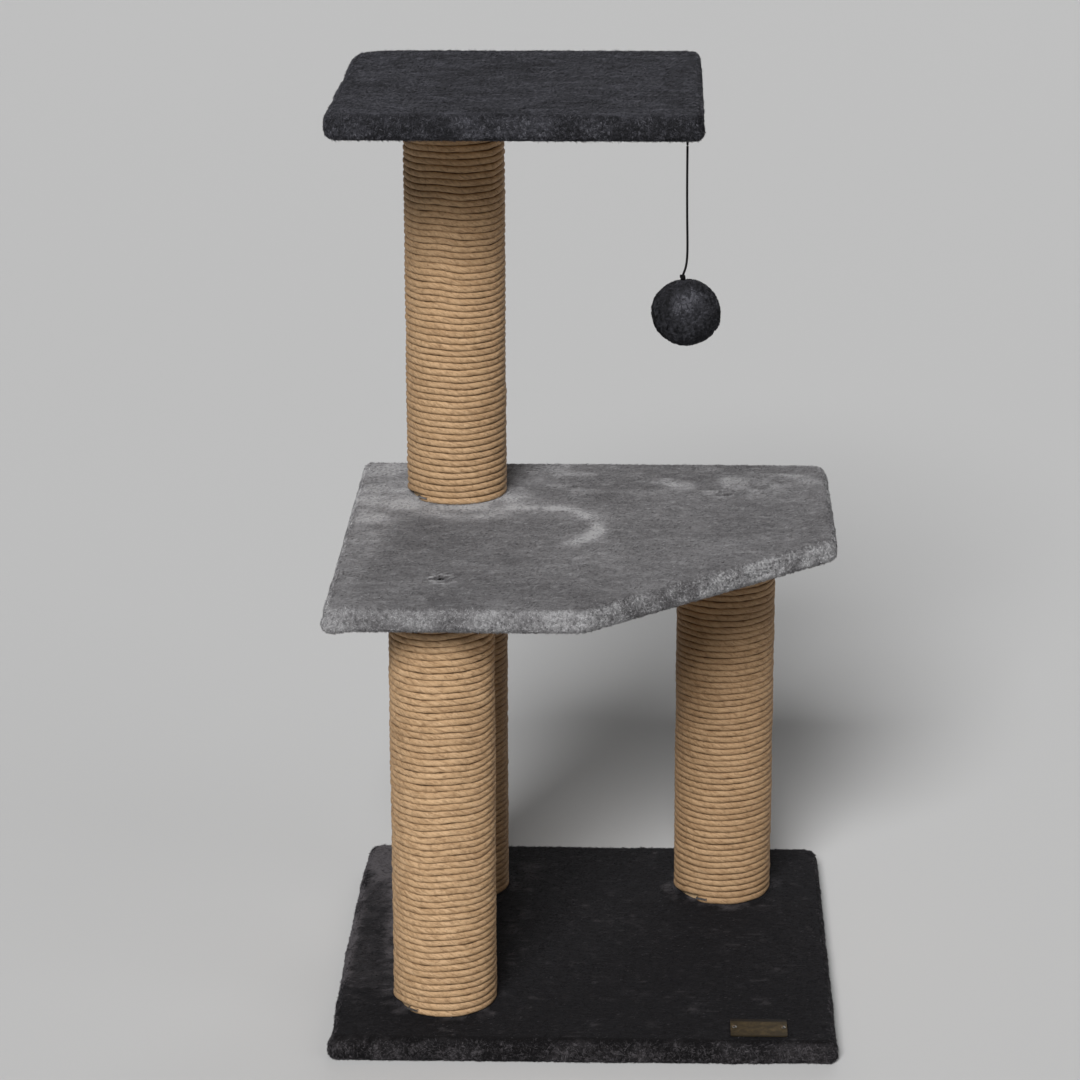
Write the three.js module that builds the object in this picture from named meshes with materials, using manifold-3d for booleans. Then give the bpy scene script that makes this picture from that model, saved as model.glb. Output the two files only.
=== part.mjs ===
// A two-tier cat tree: plush-covered chipboard platforms on rope-wound cardboard posts,
// bolted together end to end, with a pompom that hangs from the top platform on a cord.
// Millimetres, +Z up. The origin is the middle of the base, on the floor.

import * as THREE from 'three';
import { mergeVertices } from 'three/addons/utils/BufferGeometryUtils.js';
import Module from 'manifold-3d';

// Boards and their plush covers
const SIDE = 400;                // side of the square base
const HALF = SIDE / 2;
const CORE = 15;                 // chipboard thickness
const PLUSH = 2;                 // plush thickness
const BOARD = CORE + 2 * PLUSH;  // thickness of a covered board
const EDGE = 3;                  // roundness of a covered board's edges
const CORE_EDGE = 2;             // and of the bare chipboard's
const HEM = 30;                  // width of plush folded under each board
const CORNER = 12;               // usual corner radius
const TIGHT_CORNER = 6;          // where the plush is pulled tight round a corner
const SOFT_CORNER = 34;          // the top platform's rear left corner, slack under the plush
const CUT_FRONT_X = 0;           // where the middle platform's cut leaves the front edge
const CUT_RIGHT_Y = -14;         // and where it meets the right edge
const TOP_RIGHT = 88;            // right edge of the top platform
const TOP_FRONT = -92;           // front edge of the top platform

// Posts
const POST_X = 114;              // post centres from the middle, left and right
const REAR_Y = 110;
const FRONT_Y = -122;
const POST_REACH = 342;          // from plush below to bare chipboard above
const ROPE_RADIUS = 42;          // outside of the rope winding
const TUBE_RADIUS = 37;
const TUBE_WALL = 3.5;
const PLUG_HEIGHT = 20;

// Fasteners (M8)
const BOLT_RADIUS = 4;
const BOLT_HOLE = 4.5;
const HEAD_RADIUS = 6.5;
const HEAD_HEIGHT = 3.5;
const SOCKET_RADIUS = 2.9;       // hexagon socket, across corners
const SOCKET_DEPTH = 2;
const WASHER_RADIUS = 9;
const WASHER_HEIGHT = 1.2;
const NUT_FLANGE_RADIUS = 9.5;
const NUT_FLANGE_HEIGHT = 1.4;
const NUT_BARREL_RADIUS = 5.6;
const NUT_BARREL_LENGTH = 11;
const COUNTERBORE_RADIUS = 11;
const BOLT_PAST_NUT = 6;         // thread showing beyond the nut's flange

// Badge on the base, held by two drive rivets
const BADGE = { x: 139, y: -176, width: 45, depth: 30, height: 1, corner: 2, rivetInset: 3 };
const RIVET = { radius: 1.3, head: 2.1, headHeight: 0.8, length: 8 };

// Staples that hold the rope's ends, and the one that the toy hangs from
const ROPE_STAPLE = { width: 10, wire: 1.2, leg: 7, inset: 4 };
const CORD_STAPLE = { width: 9, wire: 1.2, leg: 14 };

// Hanging toy, measured from its swing axis
const TOY = { x: 76, y: -66 };
const PIVOT_DROP = 4;            // swing axis below the top platform
const LOOP_RADIUS = 2.6;         // to the middle of the loop's cord
const CORD_RADIUS = 0.9;
const KNOT_RADIUS = 2.2;
const BALL_RADIUS = 27;
const BALL_HALF_HEIGHT = 26;     // the ball is a little flat
const BALL_DROP = 135.5;         // ball's centre below the swing axis
const KNOT_SHIFT = -2.4;         // the knot sits left of the ball's top

// Levels
const GAP = 0.3;                 // clearance between touching pieces
const MIDDLE_Z = BOARD + POST_REACH - PLUSH;
const TOP_Z = MIDDLE_Z + BOARD + POST_REACH - PLUSH;
const BORE_DEPTH = HEAD_HEIGHT + WASHER_HEIGHT + 3 * GAP;
const ROUND = 16;                // facets on a small round piece
const POST_FACETS = 24;
const CORNER_FACETS = 4;
const CORD_SIDES = 8;

const wasm = await Module();
wasm.setup();

const model = new THREE.Group();

// ---- Materials --------------------------------------------------------------------------

const finish = (color, roughness, metalness = 0) => ({ color, roughness, metalness });
const CHIPBOARD = finish(0xb79a6c, 0.85);
const DARK_PLUSH = finish(0x2a282c, 0.95);
const GREY_PLUSH = finish(0x6b696b, 0.95);
const CARD = finish(0xa58a63, 0.9);
const PAPER_ROPE = finish(0xad8c6b, 0.8);
const PINE = finish(0xc9a877, 0.7);
const ZINC = finish(0xb4b6ba, 0.35, 1);
const BRONZE = finish(0x4a3f24, 0.45, 1);
const BLACK_CORD = finish(0x151416, 0.8);
const BALL_FUR = finish(0x2c2a2e, 0.95);

// ---- Geometry helpers -------------------------------------------------------------------

function toSolid(geometry) {
  const bare = geometry.clone();
  bare.deleteAttribute('normal');
  bare.deleteAttribute('uv');
  const merged = mergeVertices(bare, 1e-4);
  return new wasm.Manifold(new wasm.Mesh({
    numProp: 3,
    vertProperties: new Float32Array(merged.attributes.position.array),
    triVerts: new Uint32Array(merged.index.array),
  }));
}

function toGeometry(solid) {
  const mesh = solid.getMesh();
  const geometry = new THREE.BufferGeometry();
  geometry.setAttribute('position', new THREE.BufferAttribute(mesh.vertProperties, 3));
  geometry.setIndex(new THREE.BufferAttribute(mesh.triVerts, 1));
  return geometry;
}

function cut(geometry, tools) {
  return toGeometry(tools.reduce((solid, tool) => solid.subtract(toSolid(tool)), toSolid(geometry)));
}

function join(geometries) {
  return toGeometry(geometries.map(toSolid).reduce((solid, next) => solid.add(next)));
}

// A round bar along Z.
function rod(radius, low, high, x = 0, y = 0, sides = ROUND) {
  const bar = new THREE.CylinderGeometry(radius, radius, high - low, sides);
  return bar.rotateX(Math.PI / 2).translate(x, y, (low + high) / 2);
}

function block(width, depth, low, high, x = 0, y = 0) {
  return new THREE.BoxGeometry(width, depth, high - low).translate(x, y, (low + high) / 2);
}

// A profile of [radius, height] points turned about Z. A profile that touches the axis
// starts and ends there; any other closes on itself. It runs up its outer side.
function turned(profile, facets = ROUND) {
  const points = profile.map(([radius, height]) => new THREE.Vector2(radius, height));
  if (profile[0][0] > 0) points.push(points[0].clone());
  return new THREE.LatheGeometry(points, facets).rotateX(Math.PI / 2);
}

function ring(outer, inner, low, high, facets = ROUND) {
  return turned([[inner, low], [outer, low], [outer, high], [inner, high]], facets);
}

// A convex outline's corners, each moved inwards by a distance.
function inset(corners, distance) {
  return corners.map((corner, i) => {
    const before = corners.at(i - 1);
    const after = corners[(i + 1) % corners.length];
    const normalIn = new THREE.Vector2(before.y - corner.y, corner.x - before.x).normalize();
    const normalOut = new THREE.Vector2(corner.y - after.y, after.x - corner.x).normalize();
    const shift = normalIn.clone().add(normalOut)
      .multiplyScalar(distance / (1 + normalIn.dot(normalOut)));
    return { x: corner.x + shift.x, y: corner.y + shift.y, r: Math.max(corner.r - distance, 1) };
  });
}

// Corners {x, y, r}, anticlockwise, as a shape with each corner rounded.
function roundedShape(corners) {
  const shape = new THREE.Shape();
  corners.forEach((corner, i) => {
    const towards = (other) => {
      const step = new THREE.Vector2(other.x - corner.x, other.y - corner.y).normalize();
      return step.multiplyScalar(corner.r).add(new THREE.Vector2(corner.x, corner.y));
    };
    const start = towards(corners.at(i - 1));
    const end = towards(corners[(i + 1) % corners.length]);
    if (i === 0) shape.moveTo(start.x, start.y);
    else shape.lineTo(start.x, start.y);
    shape.quadraticCurveTo(corner.x, corner.y, end.x, end.y);
  });
  shape.closePath();
  return shape;
}

function slab(corners, low, high) {
  const flat = { depth: high - low, bevelEnabled: false, curveSegments: CORNER_FACETS };
  return new THREE.ExtrudeGeometry(roundedShape(corners), flat).translate(0, 0, low);
}

function softSlab(corners, low, high, edge) {
  const rounded = {
    depth: high - low - 2 * edge, curveSegments: CORNER_FACETS,
    bevelThickness: edge, bevelSize: edge, bevelOffset: -edge, bevelSegments: 2,
  };
  return new THREE.ExtrudeGeometry(roundedShape(corners), rounded).translate(0, 0, low + edge);
}

function rectangle(left, front, right, back, radii) {
  return [
    { x: left, y: front, r: radii[0] }, { x: right, y: front, r: radii[1] },
    { x: right, y: back, r: radii[2] }, { x: left, y: back, r: radii[3] },
  ];
}

function tube(points, radius) {
  const path = new THREE.CatmullRomCurve3(points.map((point) => new THREE.Vector3(...point)));
  const steps = Math.ceil(path.getLength() / (5 * radius));
  const section = new THREE.Shape().absarc(0, 0, radius, 0, 2 * Math.PI);
  const options = { steps, curveSegments: CORD_SIDES / 2, extrudePath: path };
  return new THREE.ExtrudeGeometry(section, options);
}

function add(name, geometry, material, x = 0, y = 0, z = 0) {
  const mesh = new THREE.Mesh(geometry, new THREE.MeshStandardMaterial(material));
  mesh.name = name;
  mesh.position.set(x, y, z);
  model.add(mesh);
}

// ---- Platforms --------------------------------------------------------------------------

// A chipboard core inside a plush shell. The shell wraps the top and the sides and folds
// under in a hem, so the core shows on the underside. Each hole has its radius in the core,
// in the top plush and in the hem, and may have a counterbore or an end inside the core.
function platform(name, corners, z, plush, holes) {
  const low = z + PLUSH;
  const high = low + CORE;
  const boardCuts = holes.flatMap(({ x, y, board, bore, from = -1, to = CORE + 1 }) => {
    const hole = rod(board, low + from, low + to, x, y);
    if (bore === 'bottom') return [hole, rod(COUNTERBORE_RADIUS, low - 1, low + BORE_DEPTH, x, y)];
    if (bore === 'top') return [hole, rod(COUNTERBORE_RADIUS, high - BORE_DEPTH, high + 1, x, y)];
    return [hole];
  });
  const board = cut(softSlab(inset(corners, PLUSH + GAP), low, high, CORE_EDGE), boardCuts);
  add(`${name}_board`, board, CHIPBOARD);

  const cavity = softSlab(inset(corners, PLUSH), low - GAP, high + GAP, CORE_EDGE);
  const opening = slab(inset(corners, HEM), z - 1, low);
  const coverHoles = holes.flatMap(({ x, y, cover, hem }) => [
    ...(cover ? [rod(cover, high, z + BOARD + 1, x, y)] : []),
    ...(hem ? [rod(hem, z - 1, low, x, y)] : []),
  ]);
  const shell = cut(softSlab(corners, z, z + BOARD, EDGE), [cavity, opening, ...coverHoles]);
  add(`${name}_cover`, shell, plush);
}

const baseCorners = rectangle(-HALF, -HALF, HALF, HALF, [TIGHT_CORNER, TIGHT_CORNER, CORNER, CORNER]);
const middleCorners = [
  { x: -HALF, y: -HALF, r: CORNER }, { x: CUT_FRONT_X, y: -HALF, r: CORNER },
  { x: HALF, y: CUT_RIGHT_Y, r: CORNER }, { x: HALF, y: HALF, r: CORNER },
  { x: -HALF, y: HALF, r: TIGHT_CORNER },
];
const topCorners = rectangle(-HALF, TOP_FRONT, TOP_RIGHT, HALF, [CORNER, CORNER, CORNER, SOFT_CORNER]);

const frontLeft = { x: -POST_X, y: FRONT_Y };
const rearLeft = { x: -POST_X, y: REAR_Y };
const rearRight = { x: POST_X, y: REAR_Y };

const fromBelow = { board: BOLT_HOLE, cover: BOLT_HOLE, bore: 'bottom' };
const fromAbove = { board: BOLT_HOLE, cover: HEAD_RADIUS + 2 * GAP, bore: 'top' };
const studHole = { board: BOLT_HOLE, cover: BOLT_HOLE };
const rivetHoles = [-1, 1].map((side) => ({
  x: BADGE.x + side * (BADGE.width / 2 - BADGE.rivetInset), y: BADGE.y,
  board: RIVET.radius + GAP, cover: RIVET.radius + GAP, from: CORE + 1 - RIVET.length,
}));
const stapleHoles = [-1, 1].map((side) => ({
  x: TOY.x + side * (CORD_STAPLE.width / 2), y: TOY.y,
  board: CORD_STAPLE.wire, hem: CORD_STAPLE.wire, to: CORD_STAPLE.leg - PIVOT_DROP,
}));

platform('base', baseCorners, 0, DARK_PLUSH, [
  ...[frontLeft, rearLeft, rearRight].map((place) => ({ ...place, ...fromBelow })),
  ...rivetHoles,
]);
platform('middle', middleCorners, MIDDLE_Z, GREY_PLUSH, [
  ...[frontLeft, rearRight].map((place) => ({ ...place, ...fromAbove })),
  { ...rearLeft, ...studHole },
]);
platform('top', topCorners, TOP_Z, DARK_PLUSH, [
  { ...rearLeft, board: BOLT_HOLE, bore: 'top' },
  ...stapleHoles,
]);

// ---- Posts ------------------------------------------------------------------------------

// A staple across the outermost turn of rope, its legs driven in through the tube wall.
function ropeStaple(z, angle, swell) {
  const { width, wire, leg } = ROPE_STAPLE;
  const thick = wire + 2 * swell;
  const crownRadius = ROPE_RADIUS + GAP + wire / 2;
  const crown = block(thick, width + 2 * swell, z - thick / 2, z + thick / 2, crownRadius, 0);
  const legs = [-1, 1].map((side) => block(
    leg + 2 * swell, thick, z - thick / 2, z + thick / 2,
    crownRadius - leg / 2, side * (width - wire) / 2,
  ));
  return join([crown, ...legs]).rotateZ(angle);
}

function threadedInsert(name, x, y, z, flangeUp) {
  const barrel = NUT_FLANGE_HEIGHT - NUT_BARREL_LENGTH;
  const bore = BOLT_RADIUS + GAP;
  const insert = turned([
    [bore, barrel], [NUT_BARREL_RADIUS, barrel], [NUT_BARREL_RADIUS, 0],
    [NUT_FLANGE_RADIUS, 0], [NUT_FLANGE_RADIUS, NUT_FLANGE_HEIGHT], [bore, NUT_FLANGE_HEIGHT],
  ]);
  if (!flangeUp) insert.rotateX(Math.PI);
  add(name, insert, ZINC, x, y, z);
}

// A rope-wound tube with a wooden plug and a threaded insert in each end.
function post(name, { x, y }, z, staples) {
  const height = POST_REACH - 2 * GAP;
  const cuts = staples.map((staple) => ropeStaple(staple.z, staple.angle, GAP));
  const rope = ring(ROPE_RADIUS, TUBE_RADIUS + GAP, 0, height, POST_FACETS);
  const card = ring(TUBE_RADIUS, TUBE_RADIUS - TUBE_WALL, 0, height, POST_FACETS);
  const start = z + GAP;
  add(`${name}_rope`, cut(rope, cuts), PAPER_ROPE, x, y, start);
  add(`${name}_tube`, cut(card, cuts), CARD, x, y, start);
  staples.forEach(({ end, z: height, angle }) => {
    add(`${name}_${end}_staple`, ropeStaple(height, angle, 0), ZINC, x, y, start);
  });

  const plugRadius = TUBE_RADIUS - TUBE_WALL - GAP;
  const plug = () => ring(plugRadius, NUT_BARREL_RADIUS + GAP, 0, PLUG_HEIGHT, POST_FACETS);
  add(`${name}_lower_plug`, plug(), PINE, x, y, start);
  add(`${name}_upper_plug`, plug(), PINE, x, y, start + height - PLUG_HEIGHT);
  threadedInsert(`${name}_lower_insert`, x, y, start + PLUG_HEIGHT + GAP, true);
  threadedInsert(`${name}_upper_insert`, x, y, start + height - PLUG_HEIGHT - GAP, false);
}

const ropeEnds = (lowAngle, highAngle) => [
  { end: 'lower', z: ROPE_STAPLE.inset, angle: THREE.MathUtils.degToRad(lowAngle) },
  {
    end: 'upper', z: POST_REACH - 2 * GAP - ROPE_STAPLE.inset,
    angle: THREE.MathUtils.degToRad(highAngle),
  },
];
post('front_left_post', frontLeft, BOARD, ropeEnds(-125, 60));
post('rear_left_post', rearLeft, BOARD, ropeEnds(-60, 120));
post('rear_right_post', rearRight, BOARD, ropeEnds(-115, 75));
post('upper_post', rearLeft, MIDDLE_Z + BOARD, ropeEnds(-130, 45));

// ---- Fasteners --------------------------------------------------------------------------

const boltReach = PLUG_HEIGHT + NUT_FLANGE_HEIGHT + BOLT_PAST_NUT;

// A button-head bolt with its head's underside at the origin and its shank along +Z.
function bolt(shank) {
  const body = turned([
    [0, -HEAD_HEIGHT], [HEAD_RADIUS - 1.5, -HEAD_HEIGHT], [HEAD_RADIUS, -HEAD_HEIGHT / 2],
    [HEAD_RADIUS, 0], [BOLT_RADIUS, 0], [BOLT_RADIUS, shank - 1], [BOLT_RADIUS - 1, shank],
    [0, shank],
  ]);
  const socket = rod(SOCKET_RADIUS, -HEAD_HEIGHT - 1, -HEAD_HEIGHT + SOCKET_DEPTH, 0, 0, 6);
  return cut(body, [socket]);
}

const washer = () => ring(WASHER_RADIUS, BOLT_HOLE, 0, WASHER_HEIGHT);

function boltFromBelow(name, { x, y }) {
  const seat = PLUSH + BORE_DEPTH - GAP - WASHER_HEIGHT;
  add(`${name}_washer`, washer(), ZINC, x, y, seat);
  const head = seat - GAP;
  add(`${name}_bolt`, bolt(BOARD + boltReach - head), ZINC, x, y, head);
}

function boltFromAbove(name, { x, y }, boardZ) {
  const seat = boardZ + PLUSH + CORE - BORE_DEPTH + GAP;
  add(`${name}_washer`, washer(), ZINC, x, y, seat);
  const head = seat + WASHER_HEIGHT + GAP;
  const turnedOver = bolt(head - boardZ - PLUSH + boltReach).rotateX(Math.PI);
  add(`${name}_bolt`, turnedOver, ZINC, x, y, head);
}

boltFromBelow('base_front_left', frontLeft);
boltFromBelow('base_rear_left', rearLeft);
boltFromBelow('base_rear_right', rearRight);

boltFromAbove('middle_front_left', frontLeft, MIDDLE_Z);
boltFromAbove('middle_rear_right', rearRight, MIDDLE_Z);
boltFromAbove('top', rearLeft, TOP_Z);

const stud = rod(BOLT_RADIUS, MIDDLE_Z + PLUSH - boltReach, MIDDLE_Z + BOARD + boltReach);
add('middle_stud', stud, ZINC, rearLeft.x, rearLeft.y);

// ---- Badge ------------------------------------------------------------------------------

function badge() {
  const halfWidth = BADGE.width / 2;
  const halfDepth = BADGE.depth / 2;
  const radii = Array(4).fill(BADGE.corner);
  const plate = slab(rectangle(-halfWidth, -halfDepth, halfWidth, halfDepth, radii), 0, BADGE.height);
  const rivetX = halfWidth - BADGE.rivetInset;
  const holes = [-rivetX, rivetX].map((x) => rod(RIVET.radius + GAP, -1, BADGE.height + 1, x));
  add('badge_plate', cut(plate, holes), BRONZE, BADGE.x, BADGE.y, BOARD + GAP);

  const rivetProfile = [
    [0, -RIVET.length], [RIVET.radius, -RIVET.length], [RIVET.radius, 0], [RIVET.head, 0],
    [RIVET.head * 0.8, RIVET.headHeight * 0.6], [0, RIVET.headHeight],
  ];
  const sides = { left: -rivetX, right: rivetX };
  for (const [side, x] of Object.entries(sides)) {
    const top = BOARD + BADGE.height + 2 * GAP;
    add(`badge_${side}_rivet`, turned(rivetProfile, 12), ZINC, BADGE.x + x, BADGE.y, top);
  }
}
badge();

// ---- Hanging toy ------------------------------------------------------------------------

// The cord hangs from a staple under the top platform. A loop runs round the staple's
// crown, the cord is tied to the loop, and a knot holds the pompom.
function hangingToy() {
  const pivotZ = TOP_Z - PIVOT_DROP;
  const reach = CORD_STAPLE.width / 2;
  const wire = CORD_STAPLE.wire / 2;
  const crown = rod(wire, -reach - wire, reach + wire, 0, 0, CORD_SIDES).rotateY(Math.PI / 2);
  const legs = [-reach, reach].map((x) => rod(wire, -wire / 2, CORD_STAPLE.leg, x, 0, CORD_SIDES));
  add('cord_staple', join([crown, ...legs]), ZINC, TOY.x, TOY.y, pivotZ);

  const loopDrop = LOOP_RADIUS - CORD_RADIUS - wire - GAP;
  const loop = new THREE.TorusGeometry(LOOP_RADIUS, CORD_RADIUS, CORD_SIDES, 16).rotateY(Math.PI / 2);
  add('cord_loop', loop, BLACK_CORD, TOY.x, TOY.y, pivotZ - loopDrop);

  const cordTop = -loopDrop - LOOP_RADIUS - CORD_RADIUS - GAP;
  const knotZ = -BALL_DROP + BALL_HALF_HEIGHT + KNOT_RADIUS + GAP;
  const cordEnd = knotZ + KNOT_RADIUS + GAP;
  const route = [
    [0, 0, cordTop], [0.2, 0, -32], [0.1, 0, -64], [-0.5, 0, -89],
    [-1.7, 0, -100], [KNOT_SHIFT, 0, cordEnd],
  ];
  add('cord', tube(route, CORD_RADIUS), BLACK_CORD, TOY.x, TOY.y, pivotZ);
  const knot = new THREE.SphereGeometry(KNOT_RADIUS, 10, 6);
  add('cord_knot', knot, BLACK_CORD, TOY.x + KNOT_SHIFT, TOY.y, pivotZ + knotZ);
  const ball = new THREE.SphereGeometry(BALL_RADIUS, 24, 14).rotateX(Math.PI / 2);
  ball.scale(1, 1, BALL_HALF_HEIGHT / BALL_RADIUS);
  add('pompom', ball, BALL_FUR, TOY.x, TOY.y, pivotZ - BALL_DROP);
}
hangingToy();

export default model;
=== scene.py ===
"""A two-tier cat tree: plush platforms on rope-wound posts, with a pompom on a cord.

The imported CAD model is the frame. This script replaces its soft solids with rope windings turn
by turn, plush covers with their pile, a cord and a fur ball, and finishes the other pieces.
Metres throughout, in the CAD model's own frame.
"""

from itertools import product
from math import atan2, cos, pi, radians, sin

import bpy
import numpy as np
from mathutils import Matrix, Vector


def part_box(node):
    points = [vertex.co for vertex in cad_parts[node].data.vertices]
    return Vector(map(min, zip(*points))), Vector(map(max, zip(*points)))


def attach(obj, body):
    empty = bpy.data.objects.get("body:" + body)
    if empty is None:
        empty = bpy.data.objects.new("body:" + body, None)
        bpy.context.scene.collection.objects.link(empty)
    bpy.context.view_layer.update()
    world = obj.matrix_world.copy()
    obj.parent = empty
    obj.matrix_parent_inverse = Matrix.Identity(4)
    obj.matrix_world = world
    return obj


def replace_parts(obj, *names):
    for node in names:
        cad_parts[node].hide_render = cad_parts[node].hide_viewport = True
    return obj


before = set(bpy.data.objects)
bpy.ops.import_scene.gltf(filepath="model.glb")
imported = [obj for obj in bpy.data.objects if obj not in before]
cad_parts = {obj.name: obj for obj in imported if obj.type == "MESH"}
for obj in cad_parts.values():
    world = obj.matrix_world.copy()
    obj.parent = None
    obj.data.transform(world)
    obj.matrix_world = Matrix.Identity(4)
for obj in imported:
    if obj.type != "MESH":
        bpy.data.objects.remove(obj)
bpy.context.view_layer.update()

MM = 0.001

# Boards, as in the CAD model
BOARD = 19 * MM
HEM = 30 * MM
CORNER = 12 * MM
TIGHT_CORNER = 6 * MM
SOFT_CORNER = 34 * MM
CUT_FRONT_X = 0.0            # where the middle platform's cut leaves its front edge
CUT_RIGHT_Y = -14 * MM       # and where it meets its right edge

# Plush
CLOTH = 1.0 * MM             # thickness of the cloth itself
EDGE = 6 * MM                # how softly it turns over a board's edge
PILE_ROOM = 0.6 * MM         # how far the cloth lies inside the finished surface
CELL = 2.3 * MM              # spacing of the cloth's grid
FIBRES = 49000               # in each patch of pile
POMPOM_FIBRES = 34000
FOOT_RADIUS = 41.5 * MM      # the pile ends here round each post
BOLT_OPENINGS = [3.4 * MM, 2.2 * MM]     # radii of those in the middle plush
LYING = dict(length=4.0 * MM, width=0.20 * MM, stand=0.20, tuft=2.6 * MM, pull=0.25, curl=0.25)
FLUFFED = dict(length=4.2 * MM, width=0.22 * MM, stand=0.28, tuft=2.7 * MM, pull=0.45, curl=0.8)
UNDERFUR = dict(length=2.6 * MM, width=0.26 * MM, stand=0.45, tuft=2.4 * MM, pull=0.2, curl=0.5)
POMPOM_FUR = dict(length=3.6 * MM, width=0.22 * MM, stand=0.24, tuft=3.4 * MM, pull=0.4, curl=0.7)

LOCK = 3.0 * MM              # width of a lock in the fluffed pile
LINT = 0.014                 # share of fibres that are pale
# Painted shade: the cloth darker on its sides and underside, between the fibres.
SHADE_BETWEEN = 0.4           # how much darker the cloth is between the fibres of its edges
SWELL_RADIUS = 44 * MM       # the cloth swells round each post
SWELL_RISE = 0.9 * MM
EDGE_NAP = (0.3, 0, -0.35)   # which way the pile lies on the edges

# Rope
ROPE_PITCH = 5.5 * MM
ROPE_DEPTH = 4.8 * MM        # measured from the tube outwards
ROPE_LEAD = 0.12             # radians of rope before its first staple
CLIMB_FROM, CLIMB = 0.82, 0.18           # the share of a flat turn where it climbs to the next
FLAT_TURNS = 4               # how many turns it takes for the climb to become even
SQUARED = 2 / 2.4            # how far the rope's pressed section is from round
TURN_STEPS = 84
SECTION_STEPS = 10

# Hanging toy
PIVOT = Vector((76, -66, 714)) * MM
CORD_DIAMETER = 1.8 * MM
CORD_TOP = -4.6 * MM         # where it is tied to its loop, below the pivot
CORD_FOOT = -105.9 * MM      # where it meets the knot
KNOT_SHIFT = -2.4 * MM       # the knot sits left of the ball's top
CORD_BOW = 2.1 * MM          # the cord hangs to the right before it turns to the knot
LOOP_DROP = 0.8 * MM
LOOP_RADIUS = 2.6 * MM

# Camera and stage
CAMERA_PLACE = (0.0525, -2.7136, 1.2334)
CAMERA_TURN, CAMERA_DOWN, CAMERA_ROLL = 0.0342, 0.3078, -0.0027      # radians
LENS, SENSOR = 116.4, 36     # in millimetres
STAGE_RADIUS = 9.0
STAGE_SIDES = 96
FLOOR_TONE = 0.56
BACKDROP_TONE = 0.49         # as bright as the floor under these lights
WORLD_STRENGTH = 0.02
LIGHTS = [("key", -11, 35, 3.95, 22), ("fill", 55, 30, 0.30, 40), ("back", 170, 18, 0.9, 50)]

POSTS = ["front_left_post", "rear_left_post", "rear_right_post", "upper_post"]
# Painted shade: each post's rope is darkened by how deep in shadow the post stands.
ROPE_SHADE = [0.0, 0.45, 0.30, 0.05]       # how much darker each post's rope is


# ---- Numbers -------------------------

def smooth(t):
    t = np.clip(t, 0, 1)
    return t * t * (3 - 2 * t)


def noise(points, size, seed):
    """Smooth noise from -1 to 1 at each point, with features about size across."""
    cell = np.asarray(points, float) / size + 0.37 * seed
    base = np.floor(cell).astype(np.int64)
    part = smooth(cell - base)
    total = np.zeros(len(cell))
    for corner in product((0, 1), repeat=3):
        x, y, z = (base + corner).T
        mixed = (x * 73856093) ^ (y * 19349663) ^ (z * 83492791) ^ (seed * 2654435761)
        mixed = ((mixed ^ (mixed >> 13)) * 1274126177) & 0xFFFFFFFF
        mixed = ((mixed ^ (mixed >> 16)) * 2246822519) & 0xFFFFFFFF
        value = (mixed >> 8 & 0xFFFF) / 0x7FFF - 1
        total += value * np.prod(np.where(corner, part, 1 - part), axis=1)
    return total


def noise_vectors(points, size, seed):
    return np.stack([noise(points, size, seed + i) for i in range(3)], axis=1)


def unit(vectors):
    return vectors / np.maximum(np.linalg.norm(vectors, axis=1, keepdims=True), 1e-9)


def curls(points, size, seed):
    """Winding locks of pile: 1 along their crests, 0 in the gaps between them."""
    warp = noise_vectors(points, size * 2.2, seed)
    ridge = np.abs(noise(points + warp * size, size, seed + 5))
    return 1 - np.minimum(ridge * 2.4, 1)


def away_from(points, x, y):
    return np.hypot(points[:, 0] - x, points[:, 1] - y)


def disc(points, x, y, radius, soft):
    """1 within radius of an upright axis, falling to 0 over soft."""
    return 1 - smooth((away_from(points, x, y) - radius) / soft)


# ---- Meshes --------------------------

def new_object(name, data):
    """An object with this data, in the scene."""
    made = bpy.data.objects.new(name, data)
    bpy.context.scene.collection.objects.link(made)
    return made


def new_mesh(name, points, faces, materials):
    """An object with one mesh. faces is a list, or an array with a row for each face."""
    mesh = bpy.data.meshes.new(name)
    mesh.from_pydata(points.tolist(), [], faces if isinstance(faces, list) else faces.tolist())
    for material in materials:
        mesh.materials.append(material)
    return new_object(name, mesh)


def make_piece(name, points, faces, materials, body, shades=None):
    """A smooth-shaded mesh piece that rides on a body. shades picks each face's material."""
    piece = new_mesh(name, points.reshape(-1, 3), faces, materials)
    if shades is not None:
        piece.data.polygons.foreach_set("material_index", shades.astype(np.int32))
    piece.data.validate()
    piece.data.shade_smooth()
    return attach(piece, body)


def store(piece, name, values):
    """Keeps one number, or one vector, for each of the piece's points."""
    kind, field = ("FLOAT", "value") if values.ndim == 1 else ("FLOAT_VECTOR", "vector")
    attribute = piece.data.attributes.new(name, kind, "POINT")
    attribute.data.foreach_set(field, values.astype(np.float32).ravel())


def threes(elements, name, kind=np.float32):
    """Three numbers for each of a mesh's elements."""
    values = np.zeros(len(elements) * 3, kind)
    elements.foreach_get(name, values)
    return values.reshape(-1, 3)


def points_of(piece):
    return threes(piece.data.vertices, "co").astype(float)


def normals_of(piece):
    return threes(piece.data.vertex_normals, "vector").astype(float)


def tube_faces(rings, closed=False):
    """Faces of a tube through rings of equal size: joined up, or with a cap on each end."""
    index = np.arange(rings[..., 0].size).reshape(rings.shape[:2])
    after = np.roll(index, -1, axis=0)
    quads = np.stack([index, np.roll(index, -1, axis=1), np.roll(after, -1, axis=1), after], axis=2)
    if closed:
        return quads.reshape(-1, 4)
    return [*quads[:-1].reshape(-1, 4), index[0][::-1], index[-1]]


# ---- Materials -----------------------

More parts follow.
